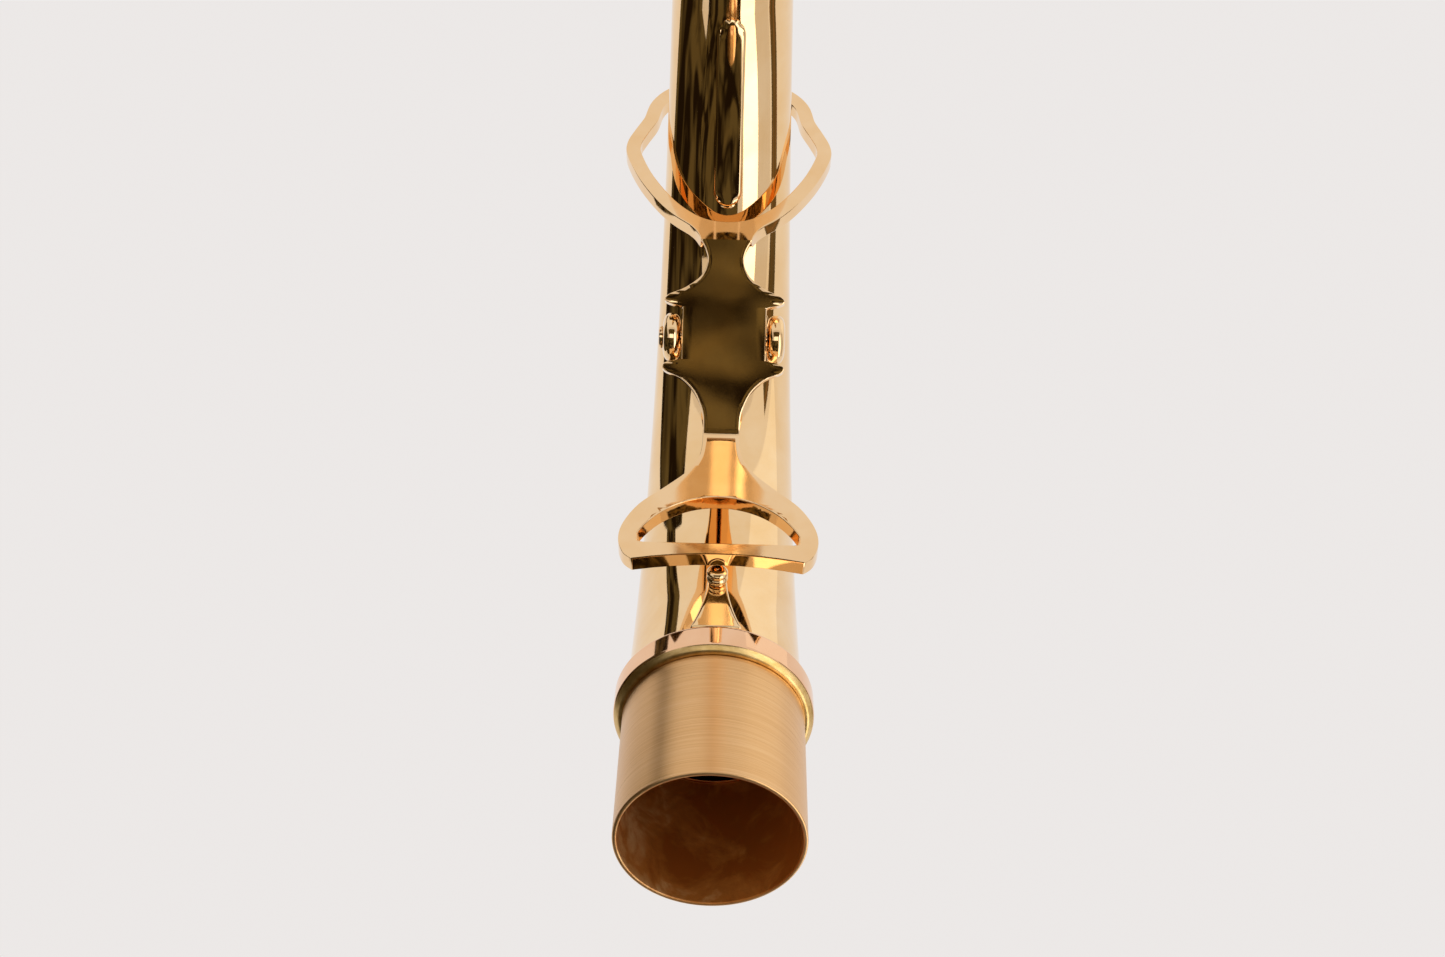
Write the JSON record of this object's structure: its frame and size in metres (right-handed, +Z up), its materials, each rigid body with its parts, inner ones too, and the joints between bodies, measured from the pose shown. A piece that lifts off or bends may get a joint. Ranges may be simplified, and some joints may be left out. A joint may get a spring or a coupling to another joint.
{
  "type": "alto saxophone neck",
  "caption": "Lacquered brass alto saxophone neck with a bare brass tenon, corked mouthpiece end and a sprung underslung octave key.",
  "frame": {"origin": "centre of the collar's face that seats on the instrument, on the tenon's axis", "axes": "+Z up along the tenon's axis into the neck, +X the way the neck bends, toward the mouthpiece, +Y across the neck"},
  "size_m": [0.1547, 0.031, 0.1111],
  "materials": {
    "lacquered_brass": "polished",
    "key_brass": "polished",
    "rose_lacquer": "polished",
    "raw_brass": "brushed",
    "steel": "satin",
    "spring_steel": "satin",
    "cork": "matte",
    "pad_leather": "matte"
  },
  "bodies": {
    "neck": {"neck_tube": "lacquered_brass", "tenon_sleeve": "raw_brass", "collar_ring": "rose_lacquer", "brace_plate": "lacquered_brass", "hinge_saddle": "lacquered_brass", "hinge_post_left": "lacquered_brass", "hinge_post_right": "lacquered_brass", "hinge_screw": "lacquered_brass", "vent_saddle": "lacquered_brass", "octave_vent": "raw_brass", "spring_rest": "lacquered_brass", "stop_post": "lacquered_brass", "stop_button": "lacquered_brass", "cork_ferrule": "lacquered_brass", "neck_cork": "cork", "tip_ring": "lacquered_brass"},
    "octave_key": {"touch_lever": "key_brass", "key_ring": "key_brass", "hinge_tube": "key_brass", "pad_arm": "key_brass", "pad_cup": "key_brass", "key_pad": "pad_leather", "flat_spring": "spring_steel", "spring_screw": "steel"}
  },
  "joints": [
    {"name": "octave_key_hinge", "type": "hinge", "parent": "neck", "child": "octave_key", "pos_m": [0.03133, 0, 0.04655], "axis": [0, -1, 0], "range_deg": [0, 3.5], "stiffness_Nm_per_rad": 0.2, "springref_deg": -5.73, "deforming": ["flat_spring"]}
  ]
}
